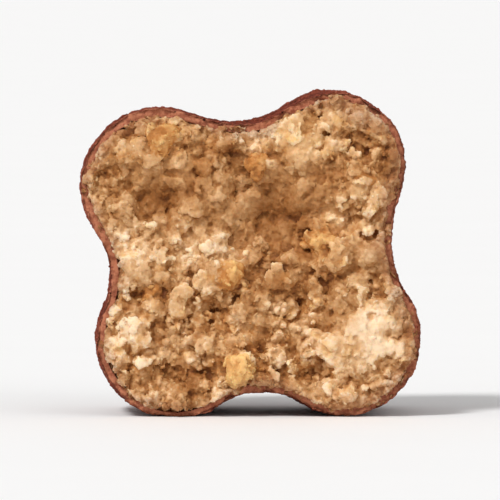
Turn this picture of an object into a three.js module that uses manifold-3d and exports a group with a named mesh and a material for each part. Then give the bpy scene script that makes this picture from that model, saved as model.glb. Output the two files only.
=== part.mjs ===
// Half of a four-lobed chocolate truffle, broken across and standing on two of its lobes.
// A thin chocolate coat, dusted with cocoa, wraps a crumbly nut and biscuit filling, which shows
// on the rough broken face. Millimetres, +Z up, the broken face towards -Y, and the origin under
// the middle of the piece, on the surface that it stands on.
import * as THREE from "three";
import { mergeVertices } from "three/addons/utils/BufferGeometryUtils.js";
import Module from "manifold-3d";

// Driving dimensions of the whole half
const halfLength = 15;
const coatThickness = 0.65;
const layerGap = 0.05;
const restingFlat = 0.25; // how far the lowest lobes are pressed flat

// Cross-section: four round lobes, in order round the section, and the hollows between them.
// A hollow follows the lobe of the same place in the list.
const lobes = [
  { x: 6.5, z: 5.95, radius: 5.75 }, // lower right
  { x: 5.75, z: 18.55, radius: 5.4 }, // upper right
  { x: -6.8, z: 16.95, radius: 5.8 }, // upper left
  { x: -5.6, z: 5.8, radius: 5.9 }, // lower left
];
const hollowRadii = [7.9, 7.2, 5.6, 4.8]; // right, top, left, bottom
const sectionCentre = { x: -0.1, z: 12.1 };
const lobeSteps = 13;
const hollowSteps = 7;

// Uncut end: a rounded edge, a crowned face that puffs up behind each lobe, and a crease from
// each hollow towards the middle
const endRadius = 4.4;
const edgeRows = 5;
const faceRows = 5;
const wallRows = 5;
const endCrown = 0.5;
const lobePuff = 0.45;
const sectionReach = 12;
const middleRound = 7.5; // radius of the round that the end's rings ease into towards the middle
const creases = [
  { depth: 0.5, reach: 0.6, width: 1.6 }, // right
  { depth: 1.1, reach: 0.75, width: 1.1 }, // top
  { depth: 0.5, reach: 0.6, width: 1.6 }, // left
  { depth: 0.7, reach: 0.6, width: 1.3 }, // bottom
];

// Broken face: large crags by hand, nuggets of crumb by a seeded rule.
// Places are measured on the face from under its middle, and a height is towards the eye.
const crags = [
  { x: 0.4, z: 14.6, radius: 4.6, height: -1.25 }, // broad hollow above the middle
  { x: 4.6, z: 13.6, radius: 2.6, height: -0.7 },
  { x: -6.6, z: 15.9, radius: 2.4, height: -0.8 }, // hollow in the upper left lobe
  { x: -2.9, z: 18.4, radius: 2.2, height: -0.6 },
  { x: 3.3, z: 20.6, radius: 3.0, height: 0.75 }, // upper right lobe
  { x: 7.6, z: 17.6, radius: 2.6, height: 0.35 },
  { x: -8.3, z: 19.2, radius: 2.3, height: 0.4 },
  { x: -8.0, z: 11.6, radius: 2.3, height: 0.8 }, // ridge in the left hollow
  { x: -2.4, z: 11.0, radius: 2.5, height: 0.95 }, // lumps below the broad hollow
  { x: 1.6, z: 9.3, radius: 1.8, height: 0.5 },
  { x: 5.7, z: 12.2, radius: 1.9, height: 1.1 }, // lump beside the right hollow
  { x: 8.6, z: 12.3, radius: 1.3, height: 0.6 },
  { x: 3.4, z: 8.0, radius: 1.9, height: -0.75 },
  { x: -3.3, z: 7.6, radius: 2.2, height: -0.55 },
  { x: 7.9, z: 6.3, radius: 3.4, height: 0.95 }, // pale lower right lobe
  { x: 4.6, z: 3.5, radius: 1.9, height: -0.55 },
  { x: -0.8, z: 3.9, radius: 1.5, height: 0.6 }, // nut in the bottom hollow
  { x: -8.3, z: 6.6, radius: 2.2, height: 0.6 },
  { x: -5.6, z: 3.0, radius: 2.3, height: -0.45 },
];
const nugget = { spacing: 1.45, jitter: 0.42, dome: 0.75, scatter: 0.6, seed: 7 };
const faceStep = 0.4; // grid of the broken face
const faceMargin = 1.5;
const rimRagged = 0.16; // unevenness of the coat's broken edge

// Repeatable random numbers from 0 to 1
function randomFrom(seed) {
  let state = seed;
  return () => {
    state = (state + 0x6d2b79f5) | 0;
    let mixed = Math.imul(state ^ (state >>> 15), 1 | state);
    mixed = (mixed + Math.imul(mixed ^ (mixed >>> 7), 61 | mixed)) ^ mixed;
    return ((mixed ^ (mixed >>> 14)) >>> 0) / 4294967296;
  };
}

// Centre of the arc that hollows the side between two lobes and touches both
function hollowCentre(lobe, next, hollowRadius) {
  const dx = next.x - lobe.x;
  const dz = next.z - lobe.z;
  const apart = Math.hypot(dx, dz);
  const toLobe = lobe.radius + hollowRadius;
  const toNext = next.radius + hollowRadius;
  const along = (toLobe ** 2 - toNext ** 2 + apart ** 2) / (2 * apart);
  const out = Math.sqrt(toLobe ** 2 - along ** 2);
  return {
    x: lobe.x + (along * dx + out * dz) / apart,
    z: lobe.z + (along * dz - out * dx) / apart,
  };
}

// Points of an arc, each with the outward normal of the section there
function arcPoints(centre, radius, from, to, steps, outward) {
  const points = [];
  for (let i = 0; i < steps; i++) {
    const angle = from + ((to - from) * i) / steps;
    const nx = Math.cos(angle);
    const nz = Math.sin(angle);
    points.push({
      x: centre.x + radius * nx,
      z: centre.z + radius * nz,
      nx: nx * outward,
      nz: nz * outward,
    });
  }
  return points;
}

// The section's outline, anticlockwise from the front, with the deepest point of each hollow
function makeSection() {
  const count = lobes.length;
  const centres = lobes.map((lobe, i) =>
    hollowCentre(lobe, lobes[(i + 1) % count], hollowRadii[i]),
  );
  const points = [];
  const valleys = [];
  for (let i = 0; i < count; i++) {
    const lobe = lobes[i];
    const next = lobes[(i + 1) % count];
    const before = centres[(i + count - 1) % count];
    const after = centres[i];
    const start = Math.atan2(before.z - lobe.z, before.x - lobe.x);
    let end = Math.atan2(after.z - lobe.z, after.x - lobe.x);
    if (end < start) end += 2 * Math.PI;
    points.push(...arcPoints(lobe, lobe.radius, start, end, lobeSteps, 1));
    const entry = Math.atan2(lobe.z - after.z, lobe.x - after.x);
    let exit = Math.atan2(next.z - after.z, next.x - after.x);
    if (exit > entry) exit -= 2 * Math.PI;
    points.push(...arcPoints(after, hollowRadii[i], entry, exit, hollowSteps, -1));
    const middle = (entry + exit) / 2;
    valleys.push({
      x: after.x + hollowRadii[i] * Math.cos(middle),
      z: after.z + hollowRadii[i] * Math.sin(middle),
    });
  }
  return { points, valleys };
}

// Gentle waviness of a piece formed by hand, in millimetres outwards
function waviness(x, y, z) {
  return (
    0.1 * Math.sin(x / 2.1 + 0.8) * Math.sin(y / 2.9 + 1.4) +
    0.08 * Math.sin(z / 1.9 + y / 3.7) +
    0.05 * Math.sin(x / 1.1 - z / 1.3 + y / 1.7)
  );
}

// How far the uncut end stands out at a point of its face
function endRelief(x, z, valleys) {
  const fromMiddle = Math.hypot(x - sectionCentre.x, z - sectionCentre.z);
  let relief = endCrown * (1 - (fromMiddle / sectionReach) ** 2);
  for (const lobe of lobes) {
    const away = Math.hypot(x - lobe.x, z - lobe.z) / lobe.radius;
    relief += lobePuff * Math.exp(-(away ** 2));
  }
  valleys.forEach((valley, i) => {
    const crease = creases[i];
    const dx = sectionCentre.x - valley.x;
    const dz = sectionCentre.z - valley.z;
    const length = Math.hypot(dx, dz);
    const along = ((x - valley.x) * dx + (z - valley.z) * dz) / length ** 2;
    const across = ((x - valley.x) * dz - (z - valley.z) * dx) / length;
    const fade = Math.min(1, Math.max(0, 1 - along / crease.reach));
    relief -= crease.depth * fade * Math.exp(-((across / crease.width) ** 2));
  });
  return relief;
}

// Rings of the skin that lies a given depth inside the outside, from the broken face to the end
function skinRings(section, depth, frontAt) {
  const back = halfLength / 2 - depth;
  const radius = endRadius - depth;
  const rings = [];
  const first = section.points[0];
  const startAngle = Math.atan2(first.z - sectionCentre.z, first.x - sectionCentre.x);
  const ring = (inset, shrink, yAt, onEnd) =>
    section.points.map((p, i) => {
      const angle = startAngle + (2 * Math.PI * i) / section.points.length;
      const lobedX = p.x - (depth + inset) * p.nx - sectionCentre.x;
      const lobedZ = p.z - (depth + inset) * p.nz - sectionCentre.z;
      const round = 1 - shrink;
      let x = lobedX * (1 - round) + middleRound * Math.cos(angle) * round;
      let z = lobedZ * (1 - round) + middleRound * Math.sin(angle) * round;
      x = sectionCentre.x + shrink * x;
      z = sectionCentre.z + shrink * z;
      let y = yAt(i);
      const wave = waviness(x, y, z);
      x += wave * p.nx * (1 - onEnd);
      z += wave * p.nz * (1 - onEnd);
      y += (wave + endRelief(x, z, section.valleys)) * onEnd;
      if (depth === 0) z = Math.max(z, restingFlat);
      return new THREE.Vector3(x, y, z);
    });
  for (let row = 0; row <= wallRows; row++) {
    const share = row / wallRows;
    rings.push(ring(0, 1, (i) => frontAt(i) * (1 - share) + (back - radius) * share, 0));
  }
  for (let row = 1; row <= edgeRows; row++) {
    const turn = (Math.PI / 2) * (row / edgeRows);
    const y = back - radius + radius * Math.sin(turn);
    rings.push(ring(radius * (1 - Math.cos(turn)), 1, () => y, Math.sin(turn) ** 2));
  }
  for (let row = 1; row < faceRows; row++) {
    rings.push(ring(radius, 1 - row / faceRows, () => back, 1));
  }
  const crown = endRelief(sectionCentre.x, sectionCentre.z, section.valleys);
  return { rings, tip: new THREE.Vector3(sectionCentre.x, back + crown, sectionCentre.z) };
}

// A closed surface through rings of equal length, ended by a point at each side
function closeRings(startTip, rings, endTip) {
  const around = rings[0].length;
  const vertices = [startTip, ...rings.flat(), endTip];
  const last = vertices.length - 1;
  const faces = [];
  for (let i = 0; i < around; i++) {
    const j = (i + 1) % around;
    faces.push(0, 1 + i, 1 + j);
    for (let row = 0; row + 1 < rings.length; row++) {
      const near = 1 + row * around;
      const far = near + around;
      faces.push(near + i, far + i, far + j, near + i, far + j, near + j);
    }
    const end = last - around;
    faces.push(last, end + j, end + i);
  }
  const geometry = new THREE.BufferGeometry().setFromPoints(vertices);
  geometry.setIndex(faces);
  return geometry;
}

// Centres of the nuggets of crumb, on a shaken grid over the whole face
function nuggetCentres(box) {
  const random = randomFrom(nugget.seed);
  const centres = [];
  const across = Math.ceil((box.max.x - box.min.x) / nugget.spacing);
  const up = Math.ceil((box.max.z - box.min.z) / nugget.spacing);
  for (let i = 0; i <= across; i++) {
    for (let k = 0; k <= up; k++) {
      centres.push({
        x: box.min.x + (i + nugget.jitter * (2 * random() - 1)) * nugget.spacing,
        z: box.min.z + (k + nugget.jitter * (2 * random() - 1)) * nugget.spacing,
        lift: nugget.scatter * (random() - 0.5),
      });
    }
  }
  return centres;
}

// Height of the broken face towards the eye: crags, and a dome on the nearest nugget
function faceHeight(x, z, centres) {
  let height = 0;
  for (const crag of crags) {
    const away = Math.hypot(x - crag.x, z - crag.z) / crag.radius;
    if (away < 1) height += crag.height * (1 - away ** 2) ** 2;
  }
  let nearest = Infinity;
  let lift = 0;
  for (const centre of centres) {
    const away = Math.hypot(x - centre.x, z - centre.z);
    if (away < nearest) {
      nearest = away;
      lift = centre.lift;
    }
  }
  const dome = nugget.dome * (1 - Math.min(1, nearest / nugget.spacing) ** 2);
  return height + lift + dome - nugget.dome / 2;
}

// A block whose front is the broken face, deep enough to hold the whole filling
function brokenBlock(section) {
  const box = new THREE.Box3().setFromPoints(
    section.points.map((p) => new THREE.Vector3(p.x, 0, p.z)),
  );
  box.expandByScalar(faceMargin);
  const wide = box.max.x - box.min.x;
  const high = box.max.z - box.min.z;
  const deep = 2 * halfLength;
  const columns = Math.round(wide / faceStep);
  const rows = Math.round(high / faceStep);
  const block = new THREE.BoxGeometry(wide, deep, high, columns, 1, rows);
  block.translate((box.min.x + box.max.x) / 2, deep / 2, (box.min.z + box.max.z) / 2);
  const centres = nuggetCentres(box);
  const place = block.getAttribute("position");
  for (let i = 0; i < place.count; i++) {
    if (place.getY(i) > deep / 2) continue;
    const height = faceHeight(place.getX(i), place.getZ(i), centres);
    place.setY(i, -halfLength / 2 - height);
  }
  return block;
}

const wasm = await Module();
wasm.setup();

function toSolid(geometry) {
  const bare = geometry.clone();
  bare.deleteAttribute("normal");
  bare.deleteAttribute("uv");
  const merged = mergeVertices(bare);
  return new wasm.Manifold(
    new wasm.Mesh({
      numProp: 3,
      vertProperties: merged.attributes.position.array,
      triVerts: new Uint32Array(merged.index.array),
    }),
  );
}

function toGeometry(solid) {
  const mesh = solid.getMesh();
  const geometry = new THREE.BufferGeometry();
  geometry.setAttribute("position", new THREE.BufferAttribute(mesh.vertProperties, 3));
  geometry.setIndex(new THREE.BufferAttribute(mesh.triVerts, 1));
  geometry.computeVertexNormals();
  return geometry;
}

// The coat's broken edge waves a little to and fro round the section
function raggedFront(i) {
  const turn = (2 * Math.PI * i) / (lobes.length * (lobeSteps + hollowSteps));
  const wave = Math.sin(7 * turn + 0.6) + 0.7 * Math.sin(19 * turn) + 0.5 * Math.sin(31 * turn + 2);
  return -halfLength / 2 + (rimRagged * wave) / 2;
}

function makeCoat(section) {
  const outside = skinRings(section, 0, raggedFront);
  const inside = skinRings(section, coatThickness, raggedFront);
  const rings = [...inside.rings.reverse(), ...outside.rings];
  return closeRings(inside.tip, rings, outside.tip);
}

function makeFilling(section) {
  const ahead = -halfLength / 2 - 2 * faceMargin;
  const core = skinRings(section, coatThickness + layerGap, () => ahead);
  const frontTip = new THREE.Vector3(sectionCentre.x, ahead, sectionCentre.z);
  const body = toSolid(closeRings(frontTip, core.rings, core.tip));
  return toGeometry(body.intersect(toSolid(brokenBlock(section))));
}

const section = makeSection();
const coat = new THREE.Mesh(
  makeCoat(section),
  new THREE.MeshStandardMaterial({ color: 0x5a2a1e, roughness: 0.9, metalness: 0 }),
);
coat.name = "chocolate_coat";
const filling = new THREE.Mesh(
  makeFilling(section),
  new THREE.MeshStandardMaterial({ color: 0xb9885a, roughness: 0.85, metalness: 0 }),
);
filling.name = "crumb_filling";

const truffle = new THREE.Group();
truffle.add(coat, filling);
const extent = new THREE.Box3().setFromObject(truffle);
const middle = extent.getCenter(new THREE.Vector3());
truffle.position.set(-middle.x, -middle.y, -extent.min.z);
export default truffle;
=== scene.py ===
import math
import random

import bmesh
import bpy
import numpy as np
from mathutils import Matrix, Vector, noise
from mathutils.bvhtree import BVHTree


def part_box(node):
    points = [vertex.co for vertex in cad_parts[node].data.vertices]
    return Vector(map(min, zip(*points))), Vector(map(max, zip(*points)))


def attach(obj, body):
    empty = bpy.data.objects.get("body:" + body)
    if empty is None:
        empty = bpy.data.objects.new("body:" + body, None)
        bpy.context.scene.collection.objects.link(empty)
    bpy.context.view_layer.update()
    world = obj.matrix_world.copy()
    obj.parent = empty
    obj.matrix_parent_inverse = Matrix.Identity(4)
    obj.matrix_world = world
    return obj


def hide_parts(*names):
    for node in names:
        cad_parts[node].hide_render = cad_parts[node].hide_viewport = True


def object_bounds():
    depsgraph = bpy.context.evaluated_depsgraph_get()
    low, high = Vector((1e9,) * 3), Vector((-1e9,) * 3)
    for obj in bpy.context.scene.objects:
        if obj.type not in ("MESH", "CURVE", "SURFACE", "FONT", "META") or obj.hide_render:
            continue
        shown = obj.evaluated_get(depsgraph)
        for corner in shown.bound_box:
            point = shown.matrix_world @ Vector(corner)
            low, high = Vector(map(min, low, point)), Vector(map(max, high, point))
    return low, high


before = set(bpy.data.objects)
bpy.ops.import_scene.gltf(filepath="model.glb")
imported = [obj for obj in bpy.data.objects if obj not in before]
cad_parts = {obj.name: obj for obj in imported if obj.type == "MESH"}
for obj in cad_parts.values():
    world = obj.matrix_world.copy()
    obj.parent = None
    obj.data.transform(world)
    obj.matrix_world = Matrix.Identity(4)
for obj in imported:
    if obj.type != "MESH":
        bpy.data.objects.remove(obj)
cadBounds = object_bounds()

# Half of a cocoa-dusted truffle, broken across. Pieces are worked in millimetres and brought to
# metres when they are done.
mm = 0.001
mergeDistance = 0.001  # mm, between corners of a solid that are one corner

coatLow, coatHigh = [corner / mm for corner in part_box("chocolate_coat")]
breakY = coatLow.y + 0.14  # mean plane of the broken face
coreX = (coatLow.x + coatHigh.x) / 2
coreZ = (coatLow.z + coatHigh.z) / 2
coreEnd = coatHigh.y - 6.0  # where the middle line stops, short of the closed end
outsideAll = 20.0  # mm from the middle line, beyond the coat on every side


# Sockets as values: an expression on them adds its Math nodes
class Wire:
    def __init__(self, maker, socket):
        self.maker = maker
        self.socket = socket

    def __add__(self, other):
        return self.maker.math("ADD", self, other)

    __radd__ = __add__

    def __sub__(self, other):
        return self.maker.math("SUBTRACT", self, other)

    def __rsub__(self, other):
        return self.maker.math("SUBTRACT", other, self)

    def __mul__(self, other):
        return self.maker.math("MULTIPLY", self, other)

    __rmul__ = __mul__

    def __truediv__(self, other):
        return self.maker.math("DIVIDE", self, other)

    def __rtruediv__(self, other):
        return self.maker.math("DIVIDE", other, self)

    def __pow__(self, other):
        return self.maker.math("POWER", self, other)

    def __lt__(self, other):
        return self.maker.math("LESS_THAN", self, other)

    def __gt__(self, other):
        return self.maker.math("GREATER_THAN", self, other)

    def output(self, name):
        return Wire(self.maker, self.socket.node.outputs[name])


# Makes nodes in one tree: the settings first, then what goes into the sockets
class Maker:
    def __init__(self, tree):
        self.tree = tree

    def add(self, kind, settings=None, sockets=None, out=0):
        node = self.tree.nodes.new(kind)
        for name, value in (settings or {}).items():
            if name == "stops":
                self.setStops(node.color_ramp.elements, value)
            else:
                setattr(node, name, value)
        for key, value in (sockets or {}).items():
            if isinstance(value, Wire):
                self.tree.links.new(value.socket, node.inputs[key])
            else:
                node.inputs[key].default_value = value
        return Wire(self, node.outputs[out])

    def setStops(self, elements, stops):
        while len(elements) < len(stops):
            elements.new(0.5)
        for element, (place, colour) in zip(elements, stops):
            element.position = place
            element.color = (*colour, 1)

    def math(self, operation, first, second=0.0):
        return self.add("ShaderNodeMath", {"operation": operation}, {0: first, 1: second})

    def vector(self, operation, first, second=None, scale=None):
        sockets = {0: first}
        if second is not None:
            sockets[1] = second
        if scale is not None:
            sockets["Scale"] = scale
        out = "Value" if operation in ("DOT_PRODUCT", "LENGTH") else "Vector"
        return self.add("ShaderNodeVectorMath", {"operation": operation}, sockets, out)

    def split(self, vector):
        parts = self.add("ShaderNodeSeparateXYZ", None, {0: vector})
        return [parts.output(axis) for axis in "XYZ"]

    def combine(self, x=0.0, y=0.0, z=0.0):
        return self.add("ShaderNodeCombineXYZ", None, {0: x, 1: y, 2: z})

    # a smooth step of a value from 0 at low to 1 at high, or between two other ends
    def ease(self, value, low, high, toLow=0.0, toHigh=1.0):
        settings = {"interpolation_type": "SMOOTHSTEP"}
        return self.add("ShaderNodeMapRange", settings, {0: value, 1: low, 2: high, 3: toLow, 4: toHigh})

    def noise(self, place, scale, detail=2.0, roughness=0.5, out=0):
        sockets = {"Vector": place, "Scale": scale, "Detail": detail, "Roughness": roughness}
        return self.add("ShaderNodeTexNoise", None, sockets, out)

    def random(self, low, high, seed):
        sockets = {2: low, 3: high, "Seed": seed}
        return self.add("FunctionNodeRandomValue", {"data_type": "FLOAT"}, sockets, 1)

    def randomVector(self, low, high, seed):
        sockets = {0: (low,) * 3, 1: (high,) * 3, "Seed": seed}
        return self.add("FunctionNodeRandomValue", {"data_type": "FLOAT_VECTOR"}, sockets, 0)

    def named(self, name):
        return self.add("GeometryNodeInputNamedAttribute", {"data_type": "FLOAT"}, {"Name": name})

    def store(self, geometry, name, value, domain="POINT"):
        settings = {"data_type": "FLOAT", "domain": domain}
        sockets = {"Geometry": geometry, "Name": name, "Value": value}
        return self.add("GeometryNodeStoreNamedAttribute", settings, sockets)

    def join(self, first, second):
        joined = self.add("GeometryNodeJoinGeometry", None, {0: second})
        self.tree.links.new(first.socket, joined.socket.node.inputs[0])
        return joined

    def shift(self, geometry, offset):
        return self.add("GeometryNodeSetPosition", None, {"Geometry": geometry, "Offset": offset})


socketKinds = {
    float: "NodeSocketFloat",
    int: "NodeSocketInt",
    bpy.types.Material: "NodeSocketMaterial",
    bpy.types.Object: "NodeSocketObject",
}


# A geometry tree with a named input for each value, made by a function of its sockets
def makeTree(name, values, build):
    tree = bpy.data.node_groups.new(name, "GeometryNodeTree")
    face = tree.interface
    face.new_socket(name="Geometry", in_out="OUTPUT", socket_type="NodeSocketGeometry")
    face.new_socket(name="Geometry", in_out="INPUT", socket_type="NodeSocketGeometry")
    for key, value in values.items():
        face.new_socket(name=key, in_out="INPUT", socket_type=socketKinds[type(value)])
    maker = Maker(tree)
    entry = tree.nodes.new("NodeGroupInput")
    given = {socket.name: Wire(maker, socket) for socket in entry.outputs if socket.name}
    made = build(maker, given)
    made = maker.add("GeometryNodeRealizeInstances", None, {"Geometry": made})
    sockets = {"Geometry": made, "Material": given["Material"]}
    made = maker.add("GeometryNodeSetMaterial", None, sockets)
    leave = tree.nodes.new("NodeGroupOutput")
    tree.links.new(made.socket, leave.inputs[0])
    return tree


# Puts a tree on a piece with its values, and turns the result into a plain mesh
def runTree(piece, name, values, build):
    tree = makeTree(name, values, build)
    modifier = piece.modifiers.new(name, "NODES")
    modifier.node_group = tree
    for item in tree.interface.items_tree:
        if item.in_out == "INPUT" and item.name in values:
            modifier[item.identifier] = values[item.name]
    settle(piece)


# Applies a piece's modifiers
def settle(piece):
    graph = bpy.context.evaluated_depsgraph_get()
    shown = piece.evaluated_get(graph)
    mesh = bpy.data.meshes.new_from_object(shown, preserve_all_data_layers=True, depsgraph=graph)
    piece.modifiers.clear()
    piece.data = mesh


def triangles(piece):
    piece.data.calc_loop_triangles()
    return len(piece.data.loop_triangles)


def newPiece(name, mesh):
    piece = bpy.data.objects.new(name, mesh)
    bpy.context.scene.collection.objects.link(piece)
    return piece


# A merged copy of a CAD solid, in millimetres
def copySolid(nodeName, pieceName, swell=0.0):
    form = bmesh.new()
    form.from_mesh(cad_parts[nodeName].data)
    bmesh.ops.scale(form, vec=(1 / mm,) * 3, verts=form.verts)
    bmesh.ops.remove_doubles(form, verts=form.verts, dist=mergeDistance)
    form.normal_update()
    for vertex in form.verts:
        vertex.co += vertex.normal * swell
    mesh = bpy.data.meshes.new(pieceName)
    form.to_mesh(mesh)
    form.free()
    return newPiece(pieceName, mesh)


# One even skin over all that a piece holds
def fuse(piece, voxel):
    modifier = piece.modifiers.new("fuse", "REMESH")
    modifier.mode = "VOXEL"
    modifier.voxel_size = voxel
    settle(piece)


def thin(piece, limit):
    count = triangles(piece)
    if count > limit:
        modifier = piece.modifiers.new("thin", "DECIMATE")
        modifier.ratio = limit / count
        settle(piece)


def finishPiece(piece, nodeName=None):
    piece.data.transform(Matrix.Scale(mm, 4))
    piece.data.name = piece.name
    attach(piece, "root")
    if nodeName:
        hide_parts(nodeName)
    print(f"{piece.name}: {triangles(piece)} triangles")


# A material with its place in millimetres on the piece's own axes
def newMaterial(name):
    material = bpy.data.materials.new(name)
    material.use_nodes = True
    maker = Maker(material.node_tree)
    shader = material.node_tree.nodes["Principled BSDF"]
    coords = maker.add("ShaderNodeTexCoord", None, None, "Object")
    place = maker.vector("SCALE", coords, scale=1 / mm)
    return material, maker, shader, place


def attribute(maker, name):
    return maker.add("ShaderNodeAttribute", {"attribute_name": name}, None, "Fac")


def connect(maker, shader, values):
    for name, value in values.items():
        if isinstance(value, Wire):
            maker.tree.links.new(value.socket, shader.inputs[name])
        else:
            shader.inputs[name].default_value = value


crumbLook = {
    "deep": (0.140, 0.038, 0.004),
    "brown": (0.305, 0.114, 0.026),
    "tan": (0.482, 0.235, 0.086),
    "pale": (0.710, 0.428, 0.214),
    "cream": (0.935, 0.712, 0.478),
    "soaked": (0.330, 0.132, 0.052),
    "burnt": (0.170, 0.046, 0.010),
    "amber": (0.500, 0.195, 0.045),
    "honey": (0.900, 0.560, 0.220),
    "grain": 0.03,  # mm, height of the finest grain
    "level": 0.515,  # shade of even crumb, from 0 deep to 1 cream
    # what moves the shade, and by how much; raised, gap and swollen paint shade into pits, gaps and
    # hollows and paint light onto crests and mounds
    "tone": 0.54,
    "raised": 0.75,
    "gap": 0.6,
    "flake": 0.18,
    "speckle": 0.44,
    "swollen": 0.3,
    "cloud": 0.62,
}


def mixColour(maker, share, first, second):
    settings = {"data_type": "RGBA", "clamp_factor": True}
    return maker.add("ShaderNodeMix", settings, {0: share, 6: first, 7: second}, 2)


def makeCrumbMaterial():
    look = crumbLook
    material, maker, shader, place = newMaterial("nut crumb")
    tone = attribute(maker, "tone")
    raised = attribute(maker, "raised")
    swollen = attribute(maker, "swollen")
    patch = attribute(maker, "patch")
    amber = attribute(maker, "amber")
    calm = attribute(maker, "calm")
    flake = attribute(maker, "flake")
    speckle = maker.noise(place, 2.6, 3.0, 0.65)
    cloud = maker.noise(place, 0.55, 2.0, 0.5)
    # painted shade deeper into the broken face and painted light on its proud front
    height = maker.ease(maker.split(place)[1], breakY - 1.2, breakY + 1.0, 0.12, -0.08)
    # painted shade in the gaps between lumps, and with raised a painted highlight on the crests
    gap = maker.math("MINIMUM", raised + 0.03, 0.0)
    uneven = (tone - 0.5) * look["tone"] + raised * look["raised"] + gap * look["gap"]
    uneven = uneven + (flake - 0.5) * look["flake"]
    mottled = (speckle - 0.5) * look["speckle"] * (1.0 - calm * 0.4)
    uneven = uneven * (1.0 - calm * 0.78) + mottled
    # swollen adds painted light on broad mounds and painted shade in broad hollows
    broad = (swollen * look["swollen"] + (cloud - 0.5) * look["cloud"]) * (1.0 - calm * 0.5)
    shade = look["level"] + uneven + broad + patch + height
    stops = [(0.0, look["deep"]), (0.25, look["brown"]), (0.5, look["tan"])]
    stops += [(0.75, look["pale"]), (1.0, look["cream"])]
    colour = maker.add("ShaderNodeValToRGB", {"stops": stops}, {0: shade})
    stops = [(0.0, look["burnt"]), (0.5, look["amber"]), (1.0, look["honey"])]
    warm = maker.add("ShaderNodeValToRGB", {"stops": stops}, {0: shade})
    drift = maker.ease(maker.noise(place, 0.9, 3.0, 0.7), 0.5, 0.68, 0.0, 0.7)
    drift = drift * (1.0 - calm * 0.9)
    golden = attribute(maker, "golden")
    colour = mixColour(maker, amber + golden + drift, colour, warm)
    # darker crumb along the coat: partly crumb soaked by the chocolate, partly painted shade
    soaked = attribute(maker, "soaked") * maker.ease(speckle, 0.3, 0.6, 0.9, 0.5)
    colour = mixColour(maker, soaked, colour, (*look["soaked"], 1))
    fine = maker.noise(place, 9.0, 3.0, 0.7)
    sockets = {"Strength": 0.6, "Distance": look["grain"] * mm, "Height": fine}
    bump = maker.add("ShaderNodeBump", None, sockets)
    connect(maker, shader, {
        "Base Color": colour,
        "Roughness": maker.ease(speckle, 0.3, 0.7, 0.78, 0.55),
        "Normal": bump,
        "Specular IOR Level": 0.22,
        "Subsurface Weight": 0.25,
        "Subsurface Radius": (1.0, 0.5, 0.22),
        "Subsurface Scale": 0.6 * mm,
    })
    return material


cocoaLook = {
    "pitShade": (0.032, 0.008, 0.005),
    "dark": (0.115, 0.020, 0.010),
    "dust": (0.235, 0.047, 0.023),
    "ridge": (0.500, 0.160, 0.100),
    "broken": (0.500, 0.190, 0.102),
    "solid": (0.300, 0.092, 0.050),
    "grain": 0.035,  # mm
    "level": 0.54,  # shade of even cocoa, from 0 pit to 1 ridge
    # what moves the shade, and by how much; raised paints shade into the pits and a highlight onto the
    # ridges
    "raised": 4.0,
    "speckle": 1.3,
    "cloud": 0.5,
    "tone": 0.5,
}


def makeCocoaMaterial(name, rimShows):
    look = cocoaLook
    material, maker, shader, place = newMaterial(name)
    raised = attribute(maker, "raised")
    tone = attribute(maker, "tone")
    speckle = maker.noise(place, 4.5, 3.0, 0.7)
    cloud = maker.noise(place, 0.35, 2.0, 0.5)
    # painted shade in the pits and painted highlight on the ridges, with random speckle and cloud
    shade = look["level"] + raised * look["raised"] + (speckle - 0.5) * look["speckle"]
    shade = shade + (cloud - 0.5) * look["cloud"] + (tone - 0.5) * look["tone"]
    stops = [(0.0, look["pitShade"]), (0.3, look["dark"]), (0.62, look["dust"]), (1.0, look["ridge"])]
    colour = maker.add("ShaderNodeValToRGB", {"stops": stops}, {0: shade})
    if rimShows:
        rim = attribute(maker, "rim")
        patchy = maker.ease(maker.noise(place, 2.4, 3.0, 0.7), 0.35, 0.6)
        broken = mixColour(maker, patchy, (*look["solid"], 1), (*look["broken"], 1))
        colour = mixColour(maker, rim, colour, broken)
    fine = maker.noise(place, 8.0, 3.0, 0.7)
    sockets = {"Strength": 0.8, "Distance": look["grain"] * mm, "Height": fine}
    bump = maker.add("ShaderNodeBump", None, sockets)
    connect(maker, shader, {
        "Base Color": colour,
        "Roughness": 0.92,
        "Normal": bump,
        "Specular IOR Level": 0.1,
        "Sheen Weight": 0.12,
        "Sheen Roughness": 0.5,
        "Sheen Tint": (0.75, 0.25, 0.16, 1),
    })
    return material


crumbMaterial = makeCrumbMaterial()
cocoaMaterial = makeCocoaMaterial("cocoa coat", True)
dustMaterial = makeCocoaMaterial("cocoa dust", False)
print("materials made")

leastGrain = 0.12  # share of its size that a grain keeps where the crumb is packed flat


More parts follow.
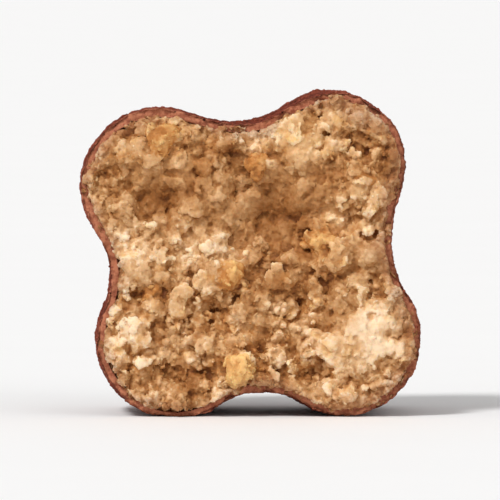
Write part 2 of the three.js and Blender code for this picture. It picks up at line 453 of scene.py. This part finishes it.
# Irregular grains at random on chosen faces of a mesh, each with a tone of its own
def scatterGrains(maker, given, mesh, chosen, seed, subdivisions):
    points = maker.add(
        "GeometryNodeDistributePointsOnFaces",
        {"distribute_method": "POISSON"},
        {
            "Mesh": mesh,
            "Selection": chosen,
            "Distance Min": given["Spacing"],
            "Density Max": 2.0 / (given["Spacing"] * given["Spacing"]),
            "Seed": seed,
        },
    )
    draw = maker.random(0.0, 1.0, seed + 1) ** given["Skew"]
    size = given["Small"] + (given["Large"] - given["Small"]) * draw
    size = size * maker.math("MAXIMUM", 1.0 - maker.named("calm"), leastGrain)
    sunk = maker.vector("SCALE", points.output("Normal"), scale=size * given["Sink"] * -1.0)
    sockets = {"Radius": 1.0, "Subdivisions": subdivisions}
    grain = maker.add("GeometryNodeMeshIcoSphere", None, sockets)
    grains = maker.add(
        "GeometryNodeInstanceOnPoints",
        None,
        {
            "Points": maker.shift(points, sunk),
            "Instance": grain,
            "Rotation": maker.randomVector(0.0, 2 * math.pi, seed + 2),
            "Scale": maker.vector("SCALE", maker.randomVector(0.35, 1.45, seed + 3), scale=size),
        },
    )
    inherited = maker.named("tone") * (1.0 - given["Own"])
    tone = inherited + maker.random(0.0, 1.0, seed + 4) * given["Own"]
    grains = maker.store(grains, "tone", tone, "INSTANCE")
    grains = maker.add("GeometryNodeRealizeInstances", None, {"Geometry": grains})
    place = maker.add("GeometryNodeInputPosition")
    wobble = maker.noise(place, given["Crumple scale"], 2.0, 0.6, 1)
    wobble = maker.vector("SUBTRACT", wobble, (0.5, 0.5, 0.5))
    return maker.shift(grains, maker.vector("SCALE", wobble, scale=given["Crumple"]))


# How far each point stands out of the surface round it, smoothed over a short and a long way
def markRaised(maker, given):
    place = maker.add("GeometryNodeInputPosition")
    normal = maker.add("GeometryNodeInputNormal")
    made = given["Geometry"]
    for name, reach in (("raised", "Near"), ("swollen", "Far")):
        smooth = maker.add(
            "GeometryNodeBlurAttribute",
            {"data_type": "FLOAT_VECTOR"},
            {"Value": place, "Iterations": given[reach]},
        )
        height = maker.vector("DOT_PRODUCT", maker.vector("SUBTRACT", place, smooth), normal)
        made = maker.store(made, name, height)
    return made


# Blur steps that smooth a surface of some cell size over a distance
def blurSteps(distance, cell):
    return round(2 * (distance / cell) ** 2)


# Chocolate coat: the solid's skin with the pits and velvet of its cocoa dusting
coat = {
    "voxel": 0.15,
    "limit": 190000,
    "relief": {
        "Wave": 0.5,
        "Velvet": 0.40,
        "Grain": 0.36,
        "Pit": 0.28,
        "Chip": 1.6,
        "Worn": 0.2,
        "Front": breakY,
    },
}


# How much a face looks away from the middle line of the coat
def faceOutwards(maker):
    place = maker.add("GeometryNodeInputPosition")
    normal = maker.add("GeometryNodeInputNormal")
    y = maker.split(place)[1]
    alongCore = maker.add("ShaderNodeClamp", None, {0: y, 1: breakY, 2: coreEnd})
    fromCore = maker.vector("SUBTRACT", place, maker.combine(coreX, alongCore, coreZ))
    return maker.vector("DOT_PRODUCT", normal, fromCore)


def dustCoat(maker, given):
    place = maker.add("GeometryNodeInputPosition")
    normal = maker.add("GeometryNodeInputNormal")
    x, y, z = maker.split(place)
    outside = maker.ease(faceOutwards(maker), 0.5, 3.0)
    wave = (maker.noise(place, 0.25, 1.0) - 0.5) * given["Wave"]
    velvet = (maker.noise(place, 1.3, 2.0, 0.55) - 0.5) * given["Velvet"]
    grain = (maker.noise(place, 3.2, 3.0, 0.65) - 0.5) * given["Grain"]
    bent = maker.vector("ADD", place, maker.noise(place, 1.2, 2.0, 0.6, 1))
    cells = maker.add("ShaderNodeTexVoronoi", None, {"Vector": bent, "Scale": 0.9}, "Distance")
    pits = maker.ease(cells, 0.3, 0.1) * maker.ease(maker.noise(place, 0.6), 0.45, 0.65) * given["Pit"]
    height = (wave + velvet + grain - pits - 0.08) * outside
    faceDown = maker.split(normal)[1] * -1.0
    fromBreak = y - given["Front"]
    rim = maker.ease(faceDown, 0.35, 0.75) * maker.ease(fromBreak, 1.2, 0.6)
    crumbled = maker.noise(place, 0.8, 3.0, 0.7)
    rubbed = maker.ease(fromBreak + crumbled * 1.2, 1.3, 0.5, 0.0, 0.8)
    chip = (maker.noise(place, 0.55, 3.0, 0.65) - 0.45) * given["Chip"] + given["Worn"]
    chip = maker.math("MAXIMUM", chip, -0.15) * rim
    offset = maker.vector("SCALE", normal, scale=height)
    offset = maker.vector("ADD", offset, maker.combine(0.0, chip, 0.0))
    made = maker.shift(given["Geometry"], offset)
    made = maker.store(made, "rim", maker.math("MAXIMUM", rim, rubbed))
    # the resting strips stay on the floor
    level = maker.math("MAXIMUM", z * -1.0, 0.0)
    return maker.shift(made, maker.combine(0.0, 0.0, level))


chocolateCoat = copySolid("chocolate_coat", "chocolateCoat")
fuse(chocolateCoat, coat["voxel"])
print(f"coat skin: {triangles(chocolateCoat)} triangles")
runTree(chocolateCoat, "coat relief", {**coat["relief"], "Material": cocoaMaterial}, dustCoat)
thin(chocolateCoat, coat["limit"])
steps = {"Near": blurSteps(0.35, coat["voxel"]), "Far": blurSteps(1.0, coat["voxel"])}
runTree(chocolateCoat, "coat raised", {**steps, "Material": cocoaMaterial}, markRaised)
chocolateCoat.data.shade_smooth()

# Crumb filling: chunks, nuts and lumps sunk in the broken face of the solid, fused with it and
# roughened
crumb = {
    "swell": 0.1,  # mm that the filling presses into the coat, so that no gap shows
    "voxel": 0.09,
    "limit": 190000,
    "chunks": {
        "Spacing": 1.5,
        "Skew": 1.4,
        "Small": 0.4,
        "Large": 1.2,
        "Sink": 0.35,
        "Own": 0.6,
        "Crumple": 1.1,
        "Crumple scale": 1.2,
    },
    "lumps": {
        "Spacing": 0.5,
        "Skew": 2.2,
        "Small": 0.14,
        "Large": 0.5,
        "Sink": 0.15,
        "Own": 0.35,
        "Crumple": 0.4,
        "Crumple scale": 2.2,
    },
    "relief": {
        "Coarse": 0.4,
        "Fine": 0.2,
        "Flake": 0.2,
        "Front": breakY,
        "Bare rim": 0.08,
        "Ragged": 0.8,
        "Proudest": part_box("crumb_filling")[0].y / mm + 0.6,
    },
}

# Pieces of nut in the broken face, x and z in mm on the face
nuts = [
    {"x": -0.8, "z": 3.7, "radius": 1.25, "amber": 0.9, "tone": 0.6},
    {"x": -1.4, "z": 10.3, "radius": 1.0, "amber": 1.0, "tone": 0.1},
    {"x": 5.3, "z": 12.6, "radius": 1.6, "amber": 0.5, "tone": 0.65},
    {"x": -6.4, "z": 20.2, "radius": 1.3, "amber": 0.55, "tone": 0.1},
    {"x": 0.6, "z": 18.3, "radius": 0.9, "amber": 0.8, "tone": 0.1},
    {"x": -3.9, "z": 18.4, "radius": 1.2, "amber": 0.35, "tone": 0.15},
    {"x": 8.4, "z": 17.6, "radius": 0.9, "amber": 0.6, "tone": 0.2},
    {"x": -7.2, "z": 9.3, "radius": 0.9, "amber": 0.8, "tone": 0.3},
]

# Parts of the face where the crumb is packed flat, where it is more golden, and where it is paler or
# darker;
# the paler and darker spots are partly the crumb's own tone and partly painted light on lit crests and
# painted shade in hollows and gaps
calmSpots = [
    {"x": 1.0, "z": 15.2, "radius": 3.8, "amount": 0.8},
    {"x": 4.6, "z": 16.4, "radius": 2.4, "amount": 0.5},
    {"x": -7.2, "z": 16.5, "radius": 2.3, "amount": 0.85},
    {"x": -3.9, "z": 18.4, "radius": 1.5, "amount": 0.6},
    {"x": -3.2, "z": 15.4, "radius": 1.8, "amount": 0.4},
    {"x": 8.6, "z": 6.4, "radius": 2.6, "amount": 0.65},
    {"x": 8.4, "z": 12.0, "radius": 1.6, "amount": 0.7},
]
goldenSpots = [
    {"x": -0.8, "z": 3.9, "radius": 1.6, "amount": 0.5},
    {"x": 5.4, "z": 12.8, "radius": 1.8, "amount": 0.4},
    {"x": 3.6, "z": 20.6, "radius": 1.9, "amount": 0.45},
    {"x": -6.0, "z": 20.4, "radius": 1.8, "amount": 0.4},
    {"x": 7.6, "z": 17.4, "radius": 1.8, "amount": 0.25},
]
toneAndShadingSpots = [
    {"x": 9.0, "z": 6.2, "radius": 2.3, "amount": 0.34},
    {"x": 4.1, "z": 7.9, "radius": 1.1, "amount": 0.30},
    {"x": 4.3, "z": 4.2, "radius": 1.0, "amount": 0.14},
    {"x": 6.3, "z": 8.0, "radius": 1.4, "amount": -0.20},
    {"x": 11.3, "z": 5.9, "radius": 1.0, "amount": -0.30},
    {"x": 9.9, "z": 11.4, "radius": 0.9, "amount": -0.28},
    {"x": 10.4, "z": 19.2, "radius": 1.0, "amount": -0.22},
    {"x": 2.4, "z": 15.1, "radius": 3.0, "amount": -0.16},
    {"x": 3.9, "z": 13.9, "radius": 1.1, "amount": -0.22},
    {"x": -1.4, "z": 19.6, "radius": 0.7, "amount": -0.45},
    {"x": -3.8, "z": 16.9, "radius": 2.0, "amount": -0.17},
    {"x": -0.2, "z": 15.6, "radius": 1.4, "amount": 0.10},
    {"x": -7.1, "z": 16.4, "radius": 1.7, "amount": -0.22},
    {"x": 5.8, "z": 16.8, "radius": 2.4, "amount": -0.16},
    {"x": 8.6, "z": 18.4, "radius": 1.6, "amount": -0.14},
    {"x": 0.4, "z": 21.0, "radius": 1.4, "amount": 0.50},
    {"x": 0.0, "z": 12.9, "radius": 1.4, "amount": 0.14},
    {"x": 0.0, "z": 5.9, "radius": 1.0, "amount": 0.12},
    {"x": 3.2, "z": 20.4, "radius": 1.6, "amount": 0.12},
    {"x": 5.2, "z": 19.6, "radius": 1.2, "amount": 0.22},
    {"x": -8.6, "z": 12.3, "radius": 1.4, "amount": 0.24},
    {"x": -7.6, "z": 9.7, "radius": 1.4, "amount": -0.18},
    {"x": -4.6, "z": 12.0, "radius": 1.3, "amount": 0.28},
    {"x": -1.6, "z": 11.9, "radius": 1.2, "amount": 0.32},
    {"x": 6.1, "z": 14.5, "radius": 1.2, "amount": 0.42},
    {"x": 8.7, "z": 14.0, "radius": 1.2, "amount": 0.14},
    {"x": 1.9, "z": 9.8, "radius": 1.9, "amount": -0.28},
    {"x": 4.2, "z": 9.5, "radius": 0.9, "amount": -0.20},
    {"x": 5.9, "z": 9.0, "radius": 1.5, "amount": -0.14},
    {"x": -4.2, "z": 2.8, "radius": 1.8, "amount": -0.14},
    {"x": -9.6, "z": 5.8, "radius": 1.6, "amount": 0.22},
    {"x": -10.0, "z": 8.6, "radius": 1.3, "amount": 0.20},
    {"x": 0.2, "z": 7.8, "radius": 1.2, "amount": -0.12},
    {"x": -4.9, "z": 8.0, "radius": 1.4, "amount": -0.15},
    {"x": -2.2, "z": 6.0, "radius": 1.2, "amount": -0.12},
    {"x": 6.2, "z": 11.6, "radius": 1.0, "amount": -0.14},
]


# Adds up soft round spots into a named attribute of a piece
def paintSpots(piece, name, spots):
    mesh = piece.data
    count = len(mesh.vertices)
    place = np.empty(count * 3)
    mesh.vertices.foreach_get("co", place)
    place = place.reshape(-1, 3)
    total = np.zeros(count)
    for spot in spots:
        away = (place[:, 0] - spot["x"]) ** 2 + (place[:, 2] - spot["z"]) ** 2
        total += spot["amount"] * np.exp(-away / spot["radius"] ** 2)
    layer = mesh.attributes.new(name, "FLOAT", "POINT")
    layer.data.foreach_set("value", total.astype(np.float32))


# Joins the nuts to a piece, each a chip with flat sides, sunk in the surface that it meets
def addNuts(piece):
    draw = random.Random(5)
    form = bmesh.new()
    form.from_mesh(piece.data)
    amber = form.verts.layers.float.new("amber")
    tone = form.verts.layers.float.new("tone")
    for vertex in form.verts:
        vertex[tone] = 0.45 + 0.5 * noise.noise(vertex.co * 0.55)
    surface = BVHTree.FromBMesh(form)
    for nut in nuts:
        hit = surface.ray_cast(Vector((nut["x"], 2 * coatLow.y, nut["z"])), Vector((0, 1, 0)))[0]
        centre = hit + Vector((0, 0.4 * nut["radius"], 0))
        sides = []
        for side in range(9):
            facing = Vector((draw.gauss(0, 1), draw.gauss(0, 1), draw.gauss(0, 1))).normalized()
            sides.append((facing, nut["radius"] * draw.uniform(0.6, 0.95)))
        ball = bmesh.ops.create_icosphere(form, subdivisions=4, radius=1)["verts"]
        for vertex in ball:
            ray = vertex.co.normalized()
            reach = nut["radius"] * 1.2
            for facing, distance in sides:
                if ray.dot(facing) > 0.1:
                    reach = min(reach, distance / ray.dot(facing))
            vertex.co = centre + ray * reach
            vertex[amber] = nut["amber"]
            vertex[tone] = nut["tone"]
    form.to_mesh(piece.data)
    form.free()


def frontFaces(maker, least=0.2):
    return maker.split(maker.add("GeometryNodeInputNormal"))[1] < -least


def growChunks(maker, given):
    chunks = scatterGrains(maker, given, given["Geometry"], frontFaces(maker), 11, 2)
    return maker.join(given["Geometry"], chunks)


# Lumps on the face and its chunks, and over the rim of the coat
def growLumps(maker, given):
    bare = maker.named("amber") < maker.random(0.35, 1.2, 20)
    chosen = maker.math("MULTIPLY", frontFaces(maker), bare)
    onFace = scatterGrains(maker, given, given["Geometry"], chosen, 21, 1)
    rim = maker.add("GeometryNodeObjectInfo", None, {"Object": given["Coat"]}, "Geometry")
    y = maker.split(maker.add("GeometryNodeInputPosition"))[1]
    chosen = maker.math("MULTIPLY", frontFaces(maker, 0.6), y < breakY + 0.8)
    onRim = scatterGrains(maker, given, rim, chosen, 27, 1)
    return maker.join(given["Geometry"], maker.join(onFace, onRim))


# Keeps crumbs inside the outer wall of the coat, by a ragged bare edge, and about as far forward
# as the solid
def keepInside(maker, given):
    place = maker.add("GeometryNodeInputPosition")
    x, y, z = maker.split(place)
    fromCore = maker.combine(x - coreX, 0.0, z - coreZ)
    away = maker.vector("LENGTH", fromCore)
    outward = maker.vector("NORMALIZE", fromCore)
    wall = maker.add("GeometryNodeObjectInfo", None, {"Object": given["Coat"]}, "Geometry")
    start = maker.combine(coreX, breakY + 1.0, coreZ)
    start = maker.vector("ADD", start, maker.vector("SCALE", outward, scale=outsideAll))
    seen = maker.add("GeometryNodeRaycast", None, {
        "Target Geometry": wall,
        "Source Position": start,
        "Ray Direction": maker.vector("SCALE", outward, scale=-1.0),
        "Ray Length": outsideAll,
    })
    wallAway = outsideAll - seen.output("Hit Distance")
    ragged = maker.ease(maker.noise(place, 0.9, 2.0, 0.6), 0.3, 0.7) * given["Ragged"]
    ragged = ragged * maker.ease(x, 2.0, 9.0, 1.25, 0.5)
    edge = wallAway - given["Bare rim"] - ragged
    over = maker.math("MAXIMUM", away - edge, 0.0) * maker.ease(y, breakY + 1.5, breakY + 0.5)
    # band of darker crumb along the coat: partly soaked crumb, partly painted shade, made wider towards
    # the shaded right side
    reach = maker.ease(maker.noise(place, 0.35, 2.0, 0.5), 0.3, 0.7, 0.7, 2.0)
    reach = reach + maker.ease(x, 4.0, 9.0, 0.0, 0.7)
    soaked = maker.ease((wallAway - away) / reach, 1.0, 0.3)
    made = maker.store(given["Geometry"], "soaked", soaked)
    inward = maker.vector("SCALE", outward, scale=over * -0.9)
    proud = maker.math("MAXIMUM", given["Proudest"] - y, 0.0)
    return maker.shift(made, maker.vector("ADD", inward, maker.combine(0.0, proud * 0.55, 0.0)))


def roughenCrumb(maker, given):
    place = maker.add("GeometryNodeInputPosition")
    normal = maker.add("GeometryNodeInputNormal")
    depth = maker.split(place)[1] - given["Front"]
    nearBreak = maker.ease(depth, 3.0, 1.5)
    coarse = (maker.noise(place, 2.2, 2.0, 0.6) - 0.5) * given["Coarse"]
    fine = (maker.noise(place, 5.5, 2.0, 0.6) - 0.5) * given["Fine"]
    bent = maker.noise(place, 1.6, 2.0, 0.6, 1)
    bent = maker.vector("ADD", place, maker.vector("SCALE", bent, scale=0.5))
    settings = {"distance": "MANHATTAN"}
    flakes = maker.add("ShaderNodeTexVoronoi", settings, {"Vector": bent, "Scale": 1.15}, "Color")
    flake = maker.split(flakes)[0]
    flat = (1.0 - maker.named("calm") * 0.6) * (1.0 - maker.named("amber") * 0.7)
    height = (coarse + fine + (flake - 0.5) * given["Flake"] * flat) * nearBreak
    height = height * (1.0 - maker.named("calm") * 0.35)
    made = maker.store(given["Geometry"], "flake", flake)
    made = maker.shift(made, maker.vector("SCALE", normal, scale=height))
    source = maker.add("GeometryNodeObjectInfo", None, {"Object": given["Lumps"]}, "Geometry")
    for name in ("tone", "amber", "calm"):
        sampled = maker.add(
            "GeometryNodeSampleNearestSurface",
            {"data_type": "FLOAT"},
            {"Mesh": source, "Value": maker.named(name), "Sample Position": place},
        )
        made = maker.store(made, name, sampled)
    return keepInside(maker, {**given, "Geometry": made})


lumpsOnFace = copySolid("crumb_filling", "lumpsOnFace", crumb["swell"])
addNuts(lumpsOnFace)
paintSpots(lumpsOnFace, "calm", calmSpots)
given = {"Material": crumbMaterial}
runTree(lumpsOnFace, "crumb chunks", {**crumb["chunks"], **given}, growChunks)
print(f"with chunks: {triangles(lumpsOnFace)} triangles")
values = {**crumb["lumps"], **given, "Coat": chocolateCoat}
runTree(lumpsOnFace, "crumb lumps", values, growLumps)
print(f"with lumps: {triangles(lumpsOnFace)} triangles")

crumbFilling = newPiece("crumbFilling", lumpsOnFace.data.copy())
fuse(crumbFilling, crumb["voxel"])
print(f"fused: {triangles(crumbFilling)} triangles")
values = {**crumb["relief"], **given, "Lumps": lumpsOnFace, "Coat": chocolateCoat}
runTree(crumbFilling, "crumb relief", values, roughenCrumb)
thin(crumbFilling, crumb["limit"])
steps = {"Near": blurSteps(0.35, crumb["voxel"]), "Far": blurSteps(1.0, crumb["voxel"])}
runTree(crumbFilling, "crumb raised", {**steps, **given}, markRaised)
# spots of the crumb's own tone and of painted light and shade
paintSpots(crumbFilling, "patch", toneAndShadingSpots)
paintSpots(crumbFilling, "golden", goldenSpots)
crumbFilling.data.shade_smooth()
bpy.data.objects.remove(lumpsOnFace)

# Loose crumbs on the broken face
looseCrumbs = {
    "Spacing": 0.36,
    "Skew": 3.0,
    "Small": 0.05,
    "Large": 0.2,
    "Sink": 0.1,
    "Own": 0.6,
    "Crumple": 0.14,
    "Crumple scale": 4.5,
}


def scatterCrumbs(maker, given):
    normal = maker.add("GeometryNodeInputNormal")
    place = maker.add("GeometryNodeInputPosition")
    forward = maker.split(normal)[1] < 0.1
    onFace = maker.math("MULTIPLY", forward, maker.split(place)[1] < breakY + 2.0)
    return scatterGrains(maker, given, given["Geometry"], onFace, 31, 1)


crumbGrains = newPiece("crumbGrains", crumbFilling.data.copy())
runTree(crumbGrains, "loose crumbs", {**looseCrumbs, **given}, scatterCrumbs)

# Cocoa dust: fine granules all over the outside of the coat
dust = {
    "Spacing": 0.4,
    "Skew": 2.0,
    "Small": 0.04,
    "Large": 0.1,
    "Sink": 0.3,
    "Own": 1.0,
    "Crumple": 0.05,
    "Crumple scale": 5.0,
}


def scatterDust(maker, given):
    z = maker.split(maker.add("GeometryNodeInputPosition"))[2]
    dusted = maker.math("MULTIPLY", faceOutwards(maker) > 1.0, z > 0.4)
    return scatterGrains(maker, given, given["Geometry"], dusted, 41, 1)


cocoaDust = newPiece("cocoaDust", chocolateCoat.data.copy())
runTree(cocoaDust, "cocoa dust", {**dust, "Material": dustMaterial}, scatterDust)

finishPiece(crumbFilling, "crumb_filling")
finishPiece(crumbGrains)
finishPiece(chocolateCoat, "chocolate_coat")
finishPiece(cocoaDust)

# Stage, light and camera
stage = {
    "floor": (0.925, 0.92, 0.915),
    "floor paler": (0.94, 0.935, 0.93),
    "size": 14.0,  # m
    "world": 0.5,
    "backdrop": 0.985,
    "key": {"azimuth": -38, "height": 48, "angle": 14, "strength": 2.1},
    "fill": {"azimuth": 40, "height": 30, "angle": 40, "strength": 0.35},
}
view = {"elevation": 2.2, "lens": 600.0, "sensor": 36.0, "share": 0.68}


def makeFloor():
    form = bmesh.new()
    bmesh.ops.create_grid(form, x_segments=1, y_segments=1, size=stage["size"] / 2)
    mesh = bpy.data.meshes.new("floor")
    form.to_mesh(mesh)
    form.free()
    floor = newPiece("floor", mesh)
    material, maker, shader, place = newMaterial("pale floor")
    paper = maker.noise(place, 0.05, 2.0)
    colour = mixColour(maker, paper, (*stage["floor"], 1), (*stage["floor paler"], 1))
    connect(maker, shader, {"Base Color": colour, "Roughness": 0.7, "Specular IOR Level": 0.2})
    mesh.materials.append(material)


def makeLight(name, facts):
    data = bpy.data.lights.new(name, "SUN")
    data.angle = math.radians(facts["angle"])
    data.energy = facts["strength"]
    light = newPiece(name, data)
    turn = math.radians(facts["azimuth"])
    rise = math.radians(facts["height"])
    away = Vector((math.sin(turn) * math.cos(rise), -math.cos(turn) * math.cos(rise), math.sin(rise)))
    light.location = away
    light.rotation_euler = (-away).to_track_quat("-Z", "Y").to_euler()


def makeWorld():
    world = bpy.data.worlds.new("studio")
    world.use_nodes = True
    bpy.context.scene.world = world
    maker = Maker(world.node_tree)
    shader = world.node_tree.nodes["Background"]
    seen = maker.add("ShaderNodeLightPath", None, None, "Is Camera Ray")
    strength = stage["world"] + seen * (stage["backdrop"] - stage["world"])
    connect(maker, shader, {"Color": (1, 1, 1, 1), "Strength": strength})


def makeCamera(target, span):
    data = bpy.data.cameras.new("camera")
    data.lens = view["lens"]
    data.sensor_width = view["sensor"]
    camera = newPiece("camera", data)
    away = span / view["share"] * view["lens"] / view["sensor"]
    tilt = math.radians(view["elevation"])
    camera.location = target + Vector((0, -math.cos(tilt), math.sin(tilt))) * away
    camera.rotation_euler = (target - camera.location).to_track_quat("-Z", "Y").to_euler()
    bpy.context.scene.camera = camera


middle = (cadBounds[0] + cadBounds[1]) / 2
makeFloor()
makeWorld()
makeLight("key", stage["key"])
makeLight("fill", stage["fill"])
makeCamera(middle, cadBounds[1].x - cadBounds[0].x)
bpy.context.scene.view_settings.view_transform = "Standard"
print("stage set")
